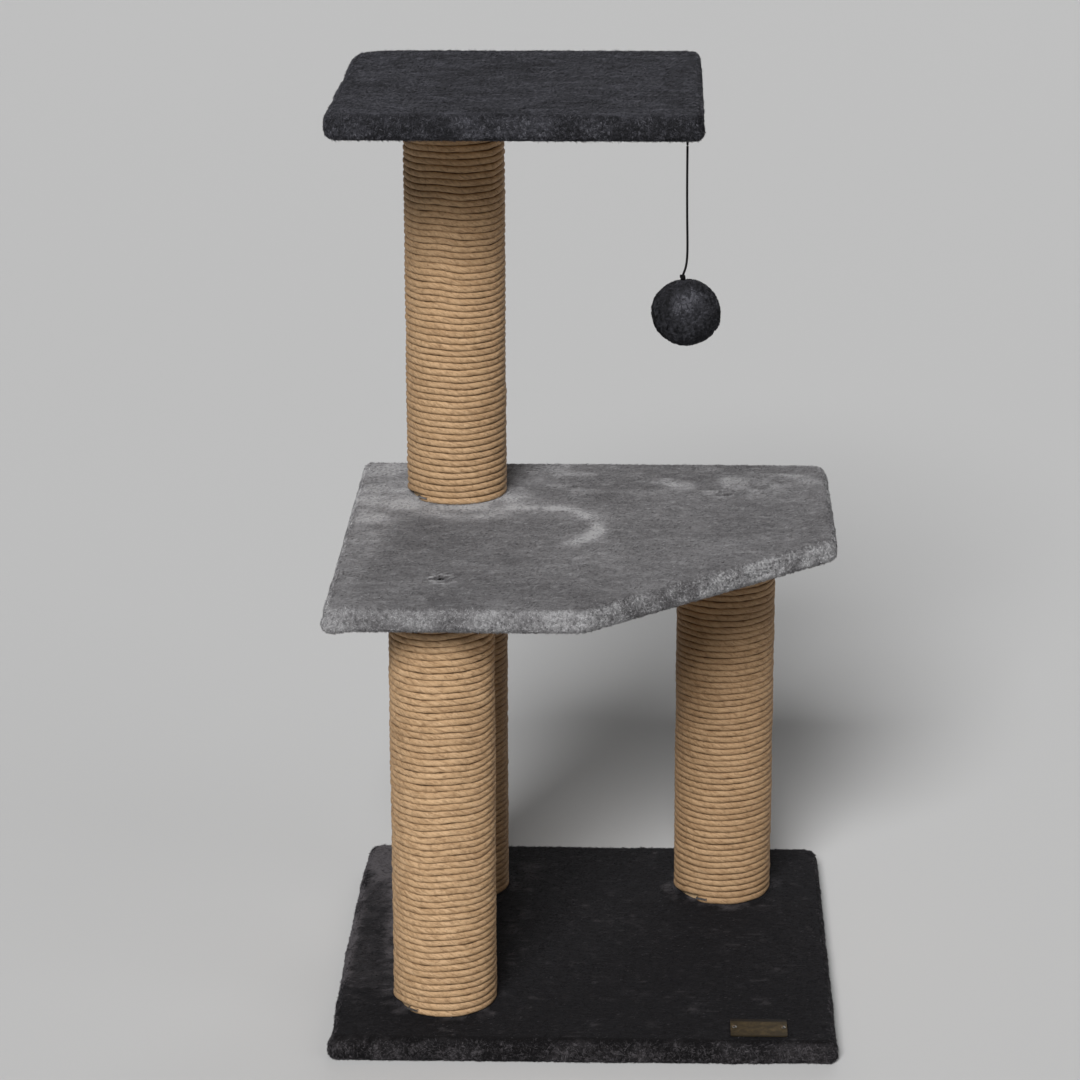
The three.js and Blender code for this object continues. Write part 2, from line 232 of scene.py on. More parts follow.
class Shader:
    """A material under construction. Sockets take numbers, colours or other sockets."""

    def __init__(self, name, sockets):
        self.material = bpy.data.materials.new(name)
        self.material.use_nodes = True
        self.tree = self.material.node_tree
        self.surface = self.tree.nodes["Principled BSDF"]
        self.fill(self.surface, sockets)

    def fill(self, node, sockets):
        for socket, value in sockets.items():
            if isinstance(value, bpy.types.NodeSocket):
                self.tree.links.new(value, node.inputs[socket])
            else:
                node.inputs[socket].default_value = value

    def add(self, kind, sockets, **settings):
        node = self.tree.nodes.new(kind)
        for key, value in settings.items():
            setattr(node, key, value)
        self.fill(node, sockets)
        return node

    def attribute(self, name, output="Fac"):
        return self.add("ShaderNodeAttribute", {}, attribute_name=name).outputs[output]

    def place(self, scale, source=None):
        """Coordinates in metres, or another vector, multiplied by scale."""
        if source is None:
            source = self.add("ShaderNodeNewGeometry", {}).outputs["Position"]
        sockets = {0: source, 1: scale}
        return self.add("ShaderNodeVectorMath", sockets, operation="MULTIPLY").outputs[0]

    def noise(self, scale, detail=3.0, rough=0.55, source=None, distortion=0.0):
        """Noise from 0 to 1. scale is the number of features in a metre, along each axis."""
        return self.add("ShaderNodeTexNoise", {
            "Vector": self.place(scale, source), "Scale": 1, "Detail": detail, "Roughness": rough,
            "Distortion": distortion}).outputs["Fac"]

    def mix(self, share, first, second):
        """Between two colours, each three numbers or a socket."""
        first, second = [(*tone, 1) if isinstance(tone, tuple) else tone for tone in (first, second)]
        sockets = {0: share, 6: first, 7: second}
        return self.add("ShaderNodeMix", sockets, data_type="RGBA").outputs[2]

    def maths(self, operation, first, second):
        return self.add("ShaderNodeMath", {0: first, 1: second}, operation=operation).outputs[0]

    def stretch(self, source, low, high):
        """A number from 0 to 1 spread over low to high."""
        sockets = {"Value": source, "To Min": low, "To Max": high}
        return self.add("ShaderNodeMapRange", sockets, clamp=False).outputs["Result"]

    def colour(self, source):
        self.fill(self.surface, {"Base Color": source})

    def roughen(self, source, low, high):
        self.fill(self.surface, {"Roughness": self.stretch(source, low, high)})

    def bump(self, *heights):
        """Each height is a source and its depth in millimetres."""
        before = {}
        for source, depth in heights:
            sockets = {"Height": source, "Strength": 1, "Distance": depth * MM, **before}
            before = {"Normal": self.add("ShaderNodeBump", sockets).outputs["Normal"]}
        self.fill(self.surface, before)


def plush(name, tint, sheen, level, contrast, dark, light, tones):
    """Cloth of short pile, round a level between dark and light, and its tones of fibre."""
    tinted = {"Sheen Weight": sheen, "Sheen Tint": (*tint, 1)}
    shader = Shader(f"{name}_plush", {"Roughness": 0.95, "Sheen Roughness": 0.5,
                                      "Specular IOR Level": 0.15, **tinted})
    streaks = shader.noise((240, 640, 560), detail=4, rough=0.7)
    clumps = shader.noise((150, 260, 240), detail=4, rough=0.65, distortion=0.5)
    patches = shader.noise((14, 26, 20), rough=0.5, distortion=0.8)
    fleck = shader.mix(0.5, streaks, clumps)
    fine = shader.stretch(fleck, level - contrast / 2, level + contrast / 2)
    lift = shader.attribute("lift")
    wide = shader.maths("ADD", shader.stretch(patches, -contrast / 5, contrast / 5), lift)
    shader.colour(shader.mix(shader.maths("ADD", fine, wide), dark, light))
    shader.bump((clumps, 0.6), (streaks, 0.5))
    plain = {"Roughness": 0.85, "Specular IOR Level": 0.2, **tinted}
    return shader.material, [
        Shader(f"{name}_fibre_{number}", {"Base Color": (*tone, 1), **plain}).material
        for number, tone in enumerate(tones)]


def rope_material():
    """Twisted kraft paper: fine spiral creases, slow changes of tone, painted shade in the grooves
    between turns and a painted darker shade on posts in shadow.
    """
    shader = Shader("twisted_paper_rope", {"Specular IOR Level": 0.3})
    strand = shader.attribute("strand", "Vector")
    creases = shader.noise((60, 900, 1), detail=5, rough=0.7, source=strand)
    flecks = shader.noise((240, 520, 1), detail=4, rough=0.7, source=strand, distortion=0.6)
    slow = shader.noise((14, 60, 1), rough=0.6, source=strand)
    tone = shader.mix(shader.stretch(slow, -0.6, 1.6), (0.33, 0.200, 0.100), (0.47, 0.305, 0.165))
    tone = shader.mix(shader.stretch(creases, -1.1, 1.6), tone, (0.60, 0.415, 0.250))
    tone = shader.mix(shader.stretch(flecks, -1.2, 1.5), tone, (0.20, 0.112, 0.052))
    # Painted shade: the whole rope darker on posts that stand in shadow.
    tone = shader.mix(shader.attribute("post_shade"), tone, (0.16, 0.090, 0.042))
    ragged_groove_shade = shader.maths("ADD", shader.attribute("groove_shade"), shader.stretch(flecks, -0.7, 0.7))
    # Painted shade in the grooves between the turns, with ragged edges.
    shader.colour(shader.mix(ragged_groove_shade, tone, (0.080, 0.038, 0.015)))
    shader.roughen(creases, 0.6, 0.85)
    shader.bump((creases, 0.55), (flecks, 0.4))
    return shader.material


def chipboard_material():
    """Pale and brown chips, each of one tone, under a fine grain."""
    shader = Shader("chipboard", {"Roughness": 0.8})
    chips = shader.add("ShaderNodeTexVoronoi", {"Vector": shader.place((260, 620, 400)), "Scale": 1})
    tone = shader.add("ShaderNodeSeparateColor", {"Color": chips.outputs["Color"]}).outputs[0]
    grain = shader.noise((300, 1500, 900), detail=4)
    ramp = shader.add("ShaderNodeValToRGB", {"Fac": tone})
    ramp.color_ramp.elements.new(0.5)
    stops = [(0, (0.36, 0.24, 0.12)), (0.6, (0.52, 0.37, 0.20)), (1, (0.66, 0.50, 0.30))]
    for element, (position, colour) in zip(ramp.color_ramp.elements, stops):
        element.position, element.color = position, (*colour, 1)
    wood = ramp.outputs["Color"]
    shader.colour(shader.mix(shader.stretch(grain, 0, 0.5), wood, (0.30, 0.19, 0.09)))
    shader.bump((tone, 0.15), (grain, 0.1))
    return shader.material


def bronze_material():
    """Dark bronze, brushed along its length, rubbed lighter in places, with a painted shadow at its
    far edge and ragged dark patches at its near edge.
    """
    shader = Shader("brushed_bronze", {"Metallic": 0.5})
    brushed = shader.noise((60, 3000, 300), detail=4, rough=0.6)
    rubbed = shader.noise([110] * 3, detail=4, rough=0.7, distortion=0.5)
    base = shader.mix(shader.stretch(brushed, 0.1, 0.9), (0.022, 0.0145, 0.005), (0.056, 0.039, 0.015))
    tone = shader.mix(shader.stretch(rubbed, -1.2, 1.5), base, (0.15, 0.105, 0.045))
    low, high = badge_box
    place = shader.add("ShaderNodeSeparateXYZ", {0: shader.place((1, 1, 1))}).outputs["Y"]
    # Painted shadow along the far edge, in place of the shade of the pile behind the plate; the near
    # edge darker in ragged patches.
    far = shader.maths("DIVIDE", shader.maths("SUBTRACT", place, high.y - 5.5 * MM), 2 * MM)
    near = shader.maths("DIVIDE", shader.maths("SUBTRACT", low.y + 2 * MM, place), 4 * MM)
    edges = shader.maths("ADD", shader.maths("MAXIMUM", far, near), shader.stretch(rubbed, -1.2, 1.2))
    shader.colour(shader.mix(edges, tone, (0.004, 0.003, 0.002)))
    shader.roughen(brushed, 0.35, 0.65)
    shader.bump((brushed, 0.05))
    return shader.material


def plain_material(name, sockets, scale, dark, light, depth=0, spread=None, gloss=None, **noise):
    """Dark to light by one noise, which makes its relief too, and its gloss where given."""
    shader = Shader(name, sockets)
    grain = shader.noise(scale, **noise)
    shader.colour(shader.mix(shader.stretch(grain, *spread) if spread else grain, dark, light))
    if gloss:
        shader.roughen(grain, *gloss)
    if depth:
        shader.bump((grain, depth))
    return shader.material


DARK_TINT = (0.55, 0.55, 0.66)
dark_plush, dark_fibres = plush(
    "dark", DARK_TINT, sheen=0.06, level=0.22, contrast=1.0,
    dark=(0.012, 0.012, 0.014), light=(0.100, 0.100, 0.118),
    tones=[(0.009, 0.009, 0.010), (0.028, 0.028, 0.032), (0.062, 0.062, 0.072), (0.15, 0.15, 0.17)])
base_plush, base_fibres = plush(
    "base", DARK_TINT, sheen=0.03, level=0.06, contrast=0.30,
    dark=(0.0028, 0.0023, 0.0026), light=(0.080, 0.073, 0.077),
    tones=[(0.0026, 0.0021, 0.0024), (0.0058, 0.0048, 0.0053), (0.033, 0.030, 0.032),
           (0.100, 0.092, 0.098)])
grey_plush, grey_fibres = plush(
    "grey", (0.95, 0.95, 1.0), sheen=0.10, level=0.18, contrast=1.0,
    dark=(0.080, 0.076, 0.078), light=(0.36, 0.356, 0.362),
    tones=[(0.070, 0.066, 0.068), (0.150, 0.144, 0.148), (0.25, 0.244, 0.250),
           (0.46, 0.456, 0.463)])


# ---- Camera and cord -----------------

def add_camera():
    """A long lens in front of the tree, a little to the right, looking down at it."""
    data = bpy.data.cameras.new("camera")
    data.lens, data.sensor_width = LENS, SENSOR
    camera = new_object("camera", data)
    aim = (Matrix.Rotation(CAMERA_TURN, 4, "Z") @ Matrix.Rotation(pi / 2 - CAMERA_DOWN, 4, "X")
           @ Matrix.Rotation(CAMERA_ROLL, 4, "Z"))
    camera.matrix_world = Matrix.Translation(CAMERA_PLACE) @ aim
    bpy.context.scene.camera = camera


def add_cord(material):
    """The cord, from the loop on its staple down to the knot on the pompom."""
    data = bpy.data.curves.new("toy_cord", "CURVE")
    data.dimensions = "3D"
    data.bevel_depth = CORD_DIAMETER / 2
    data.bevel_resolution = 3
    data.use_fill_caps = True
    spline = data.splines.new("BEZIER")
    shares = np.linspace(0, 1, 18)
    spline.bezier_points.add(len(shares) - 1)
    for point, t in zip(spline.bezier_points, shares):
        bow = CORD_BOW * t ** 3 + (KNOT_SHIFT - CORD_BOW) * t ** 12
        point.co = PIVOT + Vector((bow, 0, CORD_TOP + (CORD_FOOT - CORD_TOP) * t))
        point.handle_left_type = point.handle_right_type = "AUTO"
    data.materials.append(material)
    cord = new_object("toy_cord", data)
    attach(cord, "hanging_cord")
    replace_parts(cord, "cord")
    return cord


def add_tube(name, line, radius, around, material, body, node):
    """Cord along a closed line, in place of a CAD node."""
    ahead = unit(np.roll(line, -1, axis=0) - np.roll(line, 1, axis=0))
    side = unit(np.cross(ahead, [0.31, 0.93, 0.2]))
    other = np.cross(ahead, side)
    angles = np.linspace(0, 2 * pi, around, endpoint=False)[None, :, None]
    rings = line[:, None] + radius * (np.cos(angles) * side[:, None]
                                      + np.sin(angles) * other[:, None])
    faces = tube_faces(rings, closed=True)
    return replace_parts(make_piece(name, rings, faces, [material], body), node)


def add_loop(material):
    """The cord's top loop, round the crown of its staple."""
    turn = np.linspace(0, 2 * pi, 48, endpoint=False)
    line = np.stack([0 * turn, np.cos(turn), np.sin(turn)], axis=1) * LOOP_RADIUS
    line = line + np.array(PIVOT) - [0, 0, LOOP_DROP]
    return add_tube("toy_loop", line, CORD_DIAMETER / 2, 10, material, "loop", "cord_loop")


def add_knot(material):
    """A tight overhand knot: a trefoil of the same cord."""
    low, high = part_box("cord_knot")
    centre = np.array((low + high) / 2) - [0.3 * MM, 0, 0.7 * MM]
    turn = np.linspace(0, 2 * pi, 96, endpoint=False)
    line = np.stack([np.sin(turn) + 2 * np.sin(2 * turn), np.cos(turn) - 2 * np.cos(2 * turn),
                     -2.4 * np.sin(3 * turn)], axis=1)
    return add_tube("toy_knot", centre + line * 0.54 * MM, 0.85 * MM, 8, material,
                    "hanging_cord", "cord_knot")


add_camera()
black_cord = plain_material(
    "black_braid", {"Roughness": 0.75, "Specular IOR Level": 0.1}, (2600, 2600, 1500),
    (0.001, 0.001, 0.0012), (0.006, 0.006, 0.0065), depth=0.2, detail=2)
toy_cord = add_cord(black_cord)
toy_loop = add_loop(black_cord)
toy_knot = add_knot(black_cord)


# ---- Rope windings -------------------

def flat_turns(turned):
    """How far the rope is from an even climb, in pitches: its first turn lies flat."""
    turns = turned / (2 * pi)
    part = turns % 1
    return (smooth((part - CLIMB_FROM) / CLIMB) - part) * np.exp(-turns / FLAT_TURNS)


def stacked_heights(turned, thick, low, high):
    """Height of the rope's centre at each step, with each turn resting on the one below it."""
    even = low + (high - low) * turned / turned[-1]
    height = even.copy()
    for start in range(TURN_STEPS, len(height), TURN_STEPS):
        here = slice(start, min(start + TURN_STEPS, len(height)))
        below = slice(here.start - TURN_STEPS, here.stop - TURN_STEPS)
        height[here] = height[below] + (thick[here] + thick[below]) / 2 * ROPE_PITCH
    drift = height - even
    wide = np.pad(drift, TURN_STEPS, mode="edge")
    mean = np.convolve(wide, np.ones(TURN_STEPS) / TURN_STEPS, mode="same")
    drift -= mean[TURN_STEPS:-TURN_STEPS]
    even += ROPE_PITCH * (flat_turns(turned) - flat_turns(turned[-1] - turned))
    return even + drift * smooth((high - even) / (70 * MM)) * smooth((even - low) / (6 * MM))


def add_winding(post, material, seed, post_shade):
    """One rope wound from the foot of a post to its top, its turns pressed together."""
    low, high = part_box(f"{post}_rope")
    axis = (low + high) / 2
    outside = (high.x - low.x) / 2
    half = ROPE_PITCH * 0.5
    staple_low, staple_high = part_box(f"{post}_lower_staple")
    staple = (staple_low + staple_high) / 2 - axis
    turns = (high.z - low.z - 2 * half) / ROPE_PITCH
    count = int(turns * TURN_STEPS)
    turned = np.linspace(0, turns * 2 * pi, count)
    angle = atan2(staple.y, staple.x) - ROPE_LEAD + turned
    length = turned * outside
    own = np.stack([length, np.full(count, seed * 0.1), np.zeros(count)], axis=1)
    thick = 1 + 0.09 * noise(own, 75 * MM, seed) + 0.07 * noise(own, 24 * MM, seed + 1)
    height = stacked_heights(turned, thick, low.z + half, high.z - half)
    place = np.stack([np.cos(angle) * outside, np.sin(angle) * outside, height], axis=1)
    outward = 0.35 * noise(place, 32 * MM, seed + 2) + 0.25 * noise(own, 14 * MM, seed + 3)
    outward += 0.18 * noise(own, 5 * MM, seed + 6)
    height += 0.35 * MM * noise(own, 7 * MM, seed + 5) * smooth((height - low.z) / (9 * MM))
    thick += 0.06 * noise(own, 8 * MM, seed + 4)
    to_end = np.minimum(length, length[-1] - length)
    thick *= 0.8 + 0.2 * smooth(to_end / (4 * MM))
    around = np.linspace(0, 2 * pi, SECTION_STEPS, endpoint=False) + pi / SECTION_STEPS
    across, upright = (np.sign(part) * np.abs(part) ** SQUARED
                       for part in (np.cos(around), np.sin(around)))
    depth = ROPE_DEPTH / 2 * thick
    centre = outside - ROPE_DEPTH / 2 + outward * MM
    radius = centre[:, None] + depth[:, None] * across[None]
    z = height[:, None] + (half * 1.02) * thick[:, None] * upright[None]
    x = axis.x + radius * np.cos(angle)[:, None]
    y = axis.y + radius * np.sin(angle)[:, None]
    rings = np.stack([x, y, z], axis=2)
    winding = make_piece(
        f"{post}_winding", rings, tube_faces(rings), [material], "tree")
    section = (around + pi) % (2 * pi) - pi
    twist = length[:, None] * 0.35 + section[None] * 2.6 * MM
    strand = np.stack([np.repeat(length, SECTION_STEPS), twist.ravel(),
                       np.full(count * SECTION_STEPS, seed * 0.31)], axis=1)
    store(winding, "strand", strand)
    # Painted shade for this post, varying a little along the rope.
    store(winding, "post_shade", np.repeat(post_shade + 0.12 * noise(own, 60 * MM, seed + 7), SECTION_STEPS))
    # Painted shade in the grooves between the turns, stronger in some stretches than others.
    sunk = smooth((0.60 - across) / 0.52)
    pressed = np.clip(0.85 + 0.55 * noise(own, 45 * MM, seed + 8), 0.35, 1.1)
    store(winding, "groove_shade", (pressed[:, None] * sunk[None]).ravel())
    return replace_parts(winding, f"{post}_rope")


paper_rope = rope_material()
for number, (post, post_shade) in enumerate(zip(POSTS, ROPE_SHADE)):
    add_winding(post, paper_rope, seed=11 + 7 * number, post_shade=post_shade)


# ---- Plush covers --------------------

def inset(corners, distance):
    """A convex outline's corners (x, y, radius), each moved inwards."""
    moved = []
    for i, (x, y, radius) in enumerate(corners):
        before, after = Vector(corners[i - 1][:2]), Vector(corners[(i + 1) % len(corners)][:2])
        corner = Vector((x, y))
        first = Vector((before.y - y, x - before.x)).normalized()
        second = Vector((y - after.y, after.x - x)).normalized()
        place = corner + (first + second) * (distance / (1 + first.dot(second)))
        moved.append((place.x, place.y, max(radius - distance, 1 * MM)))
    return moved


def rounded(corners, steps=10):
    """The outline as points, anticlockwise, with each corner rounded."""
    points = []
    for i, (x, y, radius) in enumerate(corners):
        corner = Vector((x, y))
        start = corner + (Vector(corners[i - 1][:2]) - corner).normalized() * radius
        end = corner + (Vector(corners[(i + 1) % len(corners)][:2]) - corner).normalized() * radius
        for t in np.linspace(0, 1, steps + 1):
            points.append((1 - t) ** 2 * start + 2 * t * (1 - t) * corner + t * t * end)
    return np.array(points)


def row_ends(outline, y):
    """The outline's lowest and highest x at a given y."""
    found = []
    for (ax, ay), (bx, by) in zip(outline, np.roll(outline, -1, axis=0)):
        if abs(by - ay) < 1e-9:
            if abs(y - ay) < 1e-6:
                found += [ax, bx]
        elif min(ay, by) - 1e-9 <= y <= max(ay, by) + 1e-9:
            found.append(ax + (y - ay) / (by - ay) * (bx - ax))
    return min(found), max(found)


def nearest_in(corners, points):
    """Each point moved to the nearest place in a convex outline with sharp corners."""
    best = points.copy()
    nearest = np.full(len(points), np.inf)
    for i in range(len(corners)):
        a, b = (np.array(corner[:2]) for corner in (corners[i - 1], corners[i]))
        t = np.clip((points - a) @ (b - a) / ((b - a) @ (b - a)), 0, 1)
        place = a + t[:, None] * (b - a)
        away = np.linalg.norm(points - place, axis=1)
        best = np.where((away < nearest)[:, None], place, best)
        nearest = np.minimum(nearest, away)
    return best


def cloth_grid(corners, top):
    """The flat top of a cover, as rows of points inside its outline."""
    inner = inset(corners, EDGE)
    outline = rounded(inner)
    front, back = outline[:, 1].min(), outline[:, 1].max()
    turn = 1 - np.cos(np.linspace(0, pi / 2, 7))
    front_radius = max(inner[0][2], inner[1][2])
    back_radius = max(inner[-1][2], inner[-2][2])
    middle = int((back - front - front_radius - back_radius) / CELL)
    rows = np.concatenate([
        front + front_radius * turn,
        np.linspace(front + front_radius, back - back_radius, middle)[1:-1],
        (back - back_radius * turn)[::-1],
    ])
    columns = int((outline[:, 0].max() - outline[:, 0].min()) / CELL)
    share = np.linspace(0, 1, columns)
    ends = np.array([row_ends(outline, y) for y in rows])
    x = ends[:, :1] + (ends[:, 1:] - ends[:, :1]) * share
    y = np.repeat(rows[:, None], columns, axis=1)
    return np.stack([x, y, np.full_like(x, top)], axis=2)


def rim_of(index):
    """The grid's outer points, anticlockwise, starting at its front left."""
    return np.concatenate([index[0], index[1:, -1], index[-1, -2::-1], index[-2:0:-1, 0]])


def cover_mesh(corners, low, top):
    """Points and faces of a cover's outside: its top, its rounded sides and its hem."""
    grid = cloth_grid(corners, top)
    rows, columns = grid.shape[:2]
    index = np.arange(rows * columns).reshape(rows, columns)
    faces = np.stack([index[:-1, :-1], index[:-1, 1:], index[1:, 1:], index[1:, :-1]],
                     axis=2).reshape(-1, 4)
    rim = rim_of(index)
    flat = grid.reshape(-1, 3)
    edge = flat[rim, :2]
    along = np.roll(edge, -1, axis=0) - np.roll(edge, 1, axis=0)
    outward = unit(np.stack([along[:, 1], -along[:, 0]], axis=1))
    quarter = np.linspace(0, pi / 2, 6)
    profile = [(EDGE * sin(t), top - EDGE * (1 - cos(t))) for t in quarter[1:]]
    profile += [(EDGE, z) for z in np.linspace(top - EDGE, low + EDGE, 6)[1:-1]]
    profile += [(EDGE * cos(t), low + EDGE * (1 - sin(t))) for t in quarter]
    rings = [np.column_stack([edge + outward * out, np.full(len(edge), z)]) for out, z in profile]
    inner = nearest_in(inset(corners, HEM), rings[-1][:, :2])
    for share in np.linspace(0, 1, 8)[1:]:
        place = rings[len(profile) - 1][:, :2] * (1 - share) + inner * share
        rings.append(np.column_stack([place, np.full(len(edge), low)]))
    points = np.concatenate([flat] + rings)
    starts = [rim] + [np.arange(len(rim)) + len(flat) + i * len(rim) for i in range(len(rings))]
    for upper, lower in zip(starts[:-1], starts[1:]):
        after_upper, after_lower = np.roll(upper, -1), np.roll(lower, -1)
        faces = np.concatenate([faces, np.stack([upper, lower, after_lower, after_upper], axis=1)])
    return points, faces


def open_over_bolt(points, faces, x, y, opening, ceiling):
    """Opens the plush over a bolt's head, spreading the cloth round the opening."""
    reach = 10 * MM
    away = points[:, :2] - [x, y]
    far = np.linalg.norm(away, axis=1)
    on_top = np.abs(points[:, 2] - ceiling) < 0.1 * MM
    middle = np.argmin(np.where(on_top, far, np.inf))
    gone = (faces == middle).any(axis=1)
    near = on_top & (far < reach)
    wanted = opening + far * (reach - opening) / reach
    wanted[np.unique(faces[gone])] = opening
    faces = faces[~gone]
    scale = np.where(near, wanted / np.maximum(far, 1e-6), 1)
    points[:, :2] = [x, y] + away * scale[:, None]
    kept = np.arange(len(points)) != middle
    return points[kept], (np.cumsum(kept) - 1)[faces]


def facing_out(normals):
    """1 on a cover's sides and underside, falling to 0 on its top."""
    return smooth((0.93 - normals[:, 2]) / 0.3)


def droop(points, normals, corners):
    """1 on a cover's lower edge, falling to 0 on its top and further in underneath."""
    away = np.linalg.norm(points[:, :2] - nearest_in(corners, points[:, :2]), axis=1)
    return (1 - smooth((away - 4 * MM) / (16 * MM))) * smooth((0.4 - normals[:, 2]) / 0.9)


def shape_cloth(points, normals, seed, low, top, slack, feet, bolts):
    """Moves the cloth off its plain shape: folds on its edges, dents, swells and slack."""
    height = points[:, 2]
    side = smooth((top - height) / EDGE) * smooth((height - low) / EDGE)
    upward = smooth((normals[:, 2] - 0.3) / 0.5)
    push = noise(points, 55 * MM, seed) * 0.3
    push += np.abs(noise(points * [1, 1, 0.5], 24 * MM, seed + 1)) * side
    push += noise(points, 5 * MM, seed + 3) * (0.12 + 0.35 * side)
    push += noise(points, 3 * MM, seed + 4) * (0.08 + 0.2 * side)
    for x, y, opening in bolts:
        push -= disc(points, x, y, opening * 0.8, 6 * MM) * upward * 0.6
    for x, y in feet:
        push += disc(points, x, y, SWELL_RADIUS, 9 * MM) * upward * SWELL_RISE / MM
    push = np.maximum(push, -0.25 - 1.6 * upward)
    push[normals[:, 2] < -0.7] *= 0.2
    push += slack(points, normals)
    return points + normals * (push * MM)[:, None]


def add_cover(name, material, seed, lift, slack, feet, bolts, lowest):
    """A platform's plush cover, as one piece of cloth glued over the board and hemmed under."""
    low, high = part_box(f"{name}_cover")
    corners = OUTLINES[name]
    floor, ceiling = low.z + PILE_ROOM, high.z - PILE_ROOM
    points, faces = cover_mesh(inset(corners, PILE_ROOM), floor, ceiling)
    for x, y, opening in bolts:
        points, faces = open_over_bolt(points, faces, x, y, opening, ceiling)
    cover = make_piece(f"{name}_plush", points, faces, [material], "tree")
    points, normals = points_of(cover), normals_of(cover)
    points = shape_cloth(points, normals, seed, floor, ceiling, slack, feet, bolts)
    points[:, 2] = np.maximum(points[:, 2], lowest + 0.1 * MM)
    cover.data.vertices.foreach_set("co", points.astype(np.float32).ravel())
    cover.data.update()
    # Painted light and shade from the lift, with painted shade between the fibres on the cloth's sides
    # and underside.
    store(cover, "lift", lift(points, normals) - SHADE_BETWEEN * facing_out(normals))
    reach = BOARD + HEM
    outer = np.array([corner[:2] for corner in inset(corners, -reach)])
    after = np.roll(outer, -1, axis=0)
    area = abs((outer[:, 0] * after[:, 1] - after[:, 0] * outer[:, 1]).sum()) / 2
    flat = tuple((outer.max(axis=0) - outer.min(axis=0)).tolist())
    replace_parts(cover, f"{name}_cover")
    return cover, flat, float(area)


def thicken(cover):
    """Gives the cloth its thickness, inwards."""
    bpy.context.view_layer.objects.active = cover
    solid = cover.modifiers.new("cloth", "SOLIDIFY")
    solid.thickness = CLOTH
    solid.offset = -1
    bpy.ops.object.modifier_apply(modifier="cloth")


# ---- Pile ----------------------------

def scatter(piece, count, weigh, rng):
    """Random places on a piece, with its normals there. weigh gives each place's share."""
    mesh = piece.data
    mesh.calc_loop_triangles()
    corners = threes(mesh.loop_triangles, "vertices", np.int32)
    points, normals = points_of(piece), normals_of(piece)
    a, b, c = (points[corners[:, i]] for i in range(3))
    area = np.linalg.norm(np.cross(b - a, c - a), axis=1)
    share = area * weigh((a + b + c) / 3, normals[corners].mean(axis=1))
    chosen = rng.choice(len(area), count, p=share / share.sum())
    u, v = rng.random((2, count))
    flip = u + v > 1
    u, v = np.where(flip, 1 - u, u), np.where(flip, 1 - v, v)
    weights = np.stack([1 - u - v, u, v], axis=1)[:, :, None]
    root = (points[corners[chosen]] * weights).sum(axis=1)
    return root, unit((normals[corners[chosen]] * weights).sum(axis=1))


def spikes(root, tip, width):
    """Closed three-sided spikes, one from each root to its tip."""
    along = unit(tip - root)
    side = unit(np.cross(along, [0.2, 0.5, 0.84]))
    other = np.cross(along, side)
    ring = [root + (cos(turn) * side + sin(turn) * other) * width[:, None]
            for turn in (0, 2 * pi / 3, 4 * pi / 3)]
    points = np.stack(ring + [tip], axis=1)
    pattern = np.array([[0, 2, 1], [0, 1, 3], [1, 2, 3], [2, 0, 3]])
    faces = pattern[None] + 4 * np.arange(len(root))[:, None, None]
    return points.reshape(-1, 3), faces.reshape(-1, 3)


def tufts(root, size, seed):
    """The middle of the tuft that each fibre belongs to, and the tuft's number."""
    warp = noise_vectors(root, size * 1.3, seed)
    cell = np.floor((root + warp * size * 0.6) / size).astype(np.int64)
    _, which = np.unique(cell, axis=0, return_inverse=True)
    which = which.ravel()
    shares = np.bincount(which)[:, None]
    middle = np.stack([np.bincount(which, root[:, i]) for i in range(3)], axis=1) / shares
    return middle[which], which


def across_normal(vectors, normal):
    return vectors - normal * (vectors * normal).sum(axis=1, keepdims=True)


def add_pile(name, piece, style, materials, body, slot_name, seed, weigh, nap, lift,
             count=FIBRES, lowest=-1, raise_near=(), rim=None, locks=0.0, lint=0.0):
    """Fibres standing on a piece, gathered into tufts. nap is the way they are brushed.

    They stand up in the rounds of raise_near, and lean in over the edges of the box rim.
    locks is how far the pile parts into winding locks, with painted light on their crests and painted
    shade between them, lint the share of pale fibres.
    """
    rng = np.random.default_rng(seed)
    root, normal = scatter(piece, count, weigh, rng)
    middle, which = tufts(root, style["tuft"], seed + 20)
    own = rng.normal(0, 1, (which.max() + 1, 3))[which]
    way = nap + 0.5 * noise_vectors(root, 16 * MM, seed) + style["curl"] * own
    way = across_normal(way + rng.normal(0, 0.14, (count, 3)), normal)
    stand = np.full(count, style["stand"])
    for x, y, radius in raise_near:
        stand += 0.45 * disc(root, x, y, radius, 5 * MM)
    beside = 0
    if rim is not None:
        beside = smooth((3 * MM - past_box(root, *rim)) / (2 * MM))
        stand += 0.3 * beside
        way += beside[:, None] * unit(np.array((rim[0] + rim[1]) / 2) - root) * [1, 1, 0]
    crest = curls(root, LOCK, seed + 30) - 0.5
    reach = style["length"] * rng.uniform(0.6, 1.1, count) * (1 + 0.8 * locks * crest)
    reach *= 1 + 0.7 * beside
    tip = root + (normal * stand[:, None] + unit(way) * (1 - 0.8 * stand)[:, None]) * reach[:, None]
    tip += across_normal(middle - root, normal) * style["pull"]
    width = style["width"] * rng.uniform(0.7, 1.25, count)
    points, faces = spikes(root - normal * 0.25 * MM, tip, width)
    points[:, 2] = np.maximum(points[:, 2], lowest)
    tone = lift(root, normal) + rng.normal(0, 0.24, which.max() + 1)[which]
    # Painted light on the crests of the locks and painted shade in the gaps between them.
    tone += 0.22 * noise(root, 11 * MM, seed + 13) + 1.6 * locks * crest
    tone += rng.normal(0, 0.24, count) + 1.1 * (rng.random(count) < lint)
    shade = np.clip(np.floor((tone + 1.0) * 1.6), 0, len(materials) - 1)
    return make_piece(name, points, faces, materials, body, shades=np.repeat(shade, 4))


